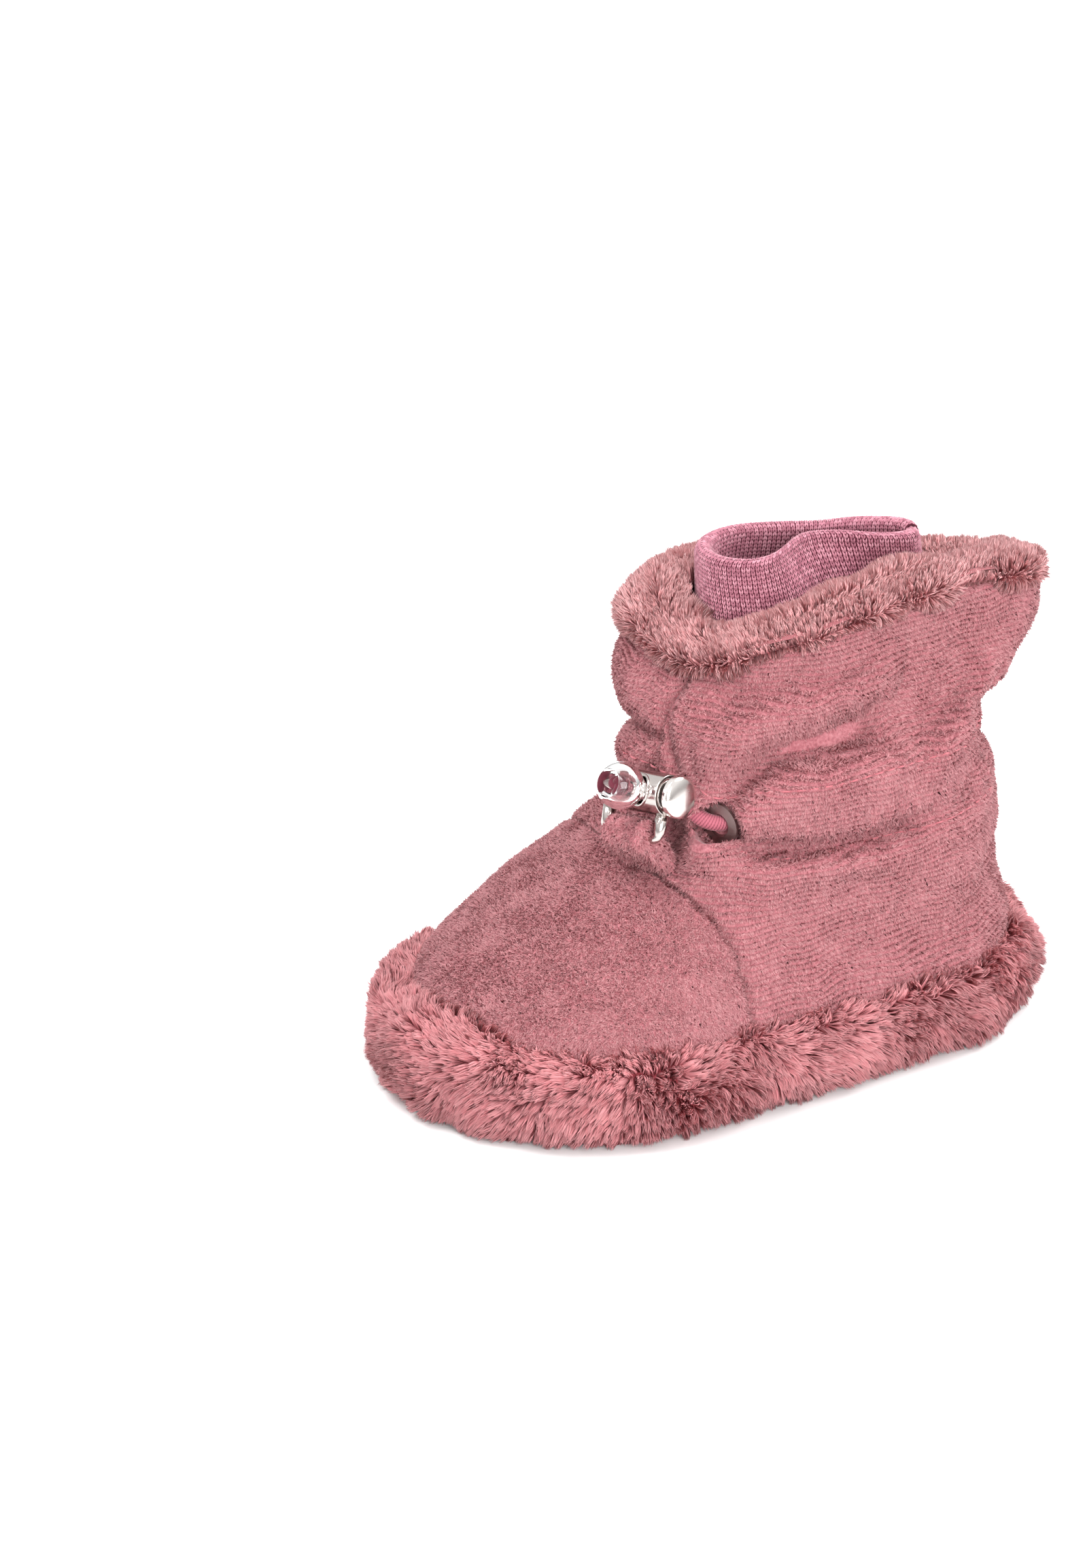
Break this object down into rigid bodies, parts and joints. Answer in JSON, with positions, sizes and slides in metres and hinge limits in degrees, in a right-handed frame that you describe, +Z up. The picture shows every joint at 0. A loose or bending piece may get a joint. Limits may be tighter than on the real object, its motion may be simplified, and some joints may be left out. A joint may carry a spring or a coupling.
{
  "type": "baby bootie",
  "caption": "Baby's soft ankle bootie: fleece upper, plush sole band and collar, knitted cuff, elastic drawcord with eyelet, sprung metal cord lock and clear cord end.",
  "frame": {"origin": "on the floor under the middle of the bounding box", "axes": "+Z up, toe towards -Y, wearer's left side towards +X"},
  "size_m": [0.076, 0.1301, 0.0845],
  "materials": {
    "outsole_fabric": "woven, matt",
    "midsole_foam": "foam, matt",
    "board_fabric": "felted, matt",
    "plush_rose": "long soft pile",
    "fleece_rose": "short brushed pile",
    "lining_plush": "soft pile",
    "jersey_mauve": "fine rib knit",
    "casing_fabric": "woven, matt",
    "thread_rose": "satin thread",
    "cord_elastic": "ribbed elastic",
    "eyelet_metal": "polished",
    "lock_metal": "polished",
    "plunger_metal": "polished",
    "spring_steel": "bright wire",
    "clear_plastic": "clear, glossy"
  },
  "bodies": {
    "boot": {"outsole_panel": "outsole_fabric", "midsole_foam": "midsole_foam", "insole_board": "board_fabric", "insole_plush": "lining_plush", "plush_band": "plush_rose", "vamp": "fleece_rose", "quarter_left": "fleece_rose", "quarter_right": "fleece_rose", "vamp_lining": "lining_plush", "shaft_lining_left": "lining_plush", "shaft_lining_right": "lining_plush", "drawcord_casing": "casing_fabric", "plush_collar": "plush_rose", "knit_cuff": "jersey_mauve", "casing_stitch_low": "thread_rose", "casing_stitch_high": "thread_rose", "eyelet_flange": "eyelet_metal", "eyelet_washer": "eyelet_metal", "drawcord": "cord_elastic", "lock_tab": "fleece_rose"},
    "lock": {"lock_barrel": "lock_metal", "lock_spring": "spring_steel"},
    "plunger": {"lock_plunger": "plunger_metal"},
    "cord_end": {"cord_end_ball": "clear_plastic", "cord_knot": "cord_elastic"}
  },
  "joints": [
    {"name": "lock_swing", "type": "hinge", "parent": "boot", "child": "lock", "pos_m": [0.00819, -0.02373, 0.04451], "axis": [0.9513, 0.2549, 0.1736], "range_deg": [-6, 35], "deforming": ["drawcord"]},
    {"name": "plunger_press", "type": "slide", "parent": "lock", "child": "plunger", "axis": [-0.9513, -0.2549, -0.1736], "range_m": [0, 0.0012], "stiffness_N_per_m": 600, "springref_m": -0.003, "deforming": ["lock_spring"]},
    {"name": "cord_pull", "type": "slide", "parent": "lock", "child": "cord_end", "axis": [0.1591, -0.8879, 0.4317], "range_m": [0, 0.012], "deforming": ["drawcord"]}
  ]
}
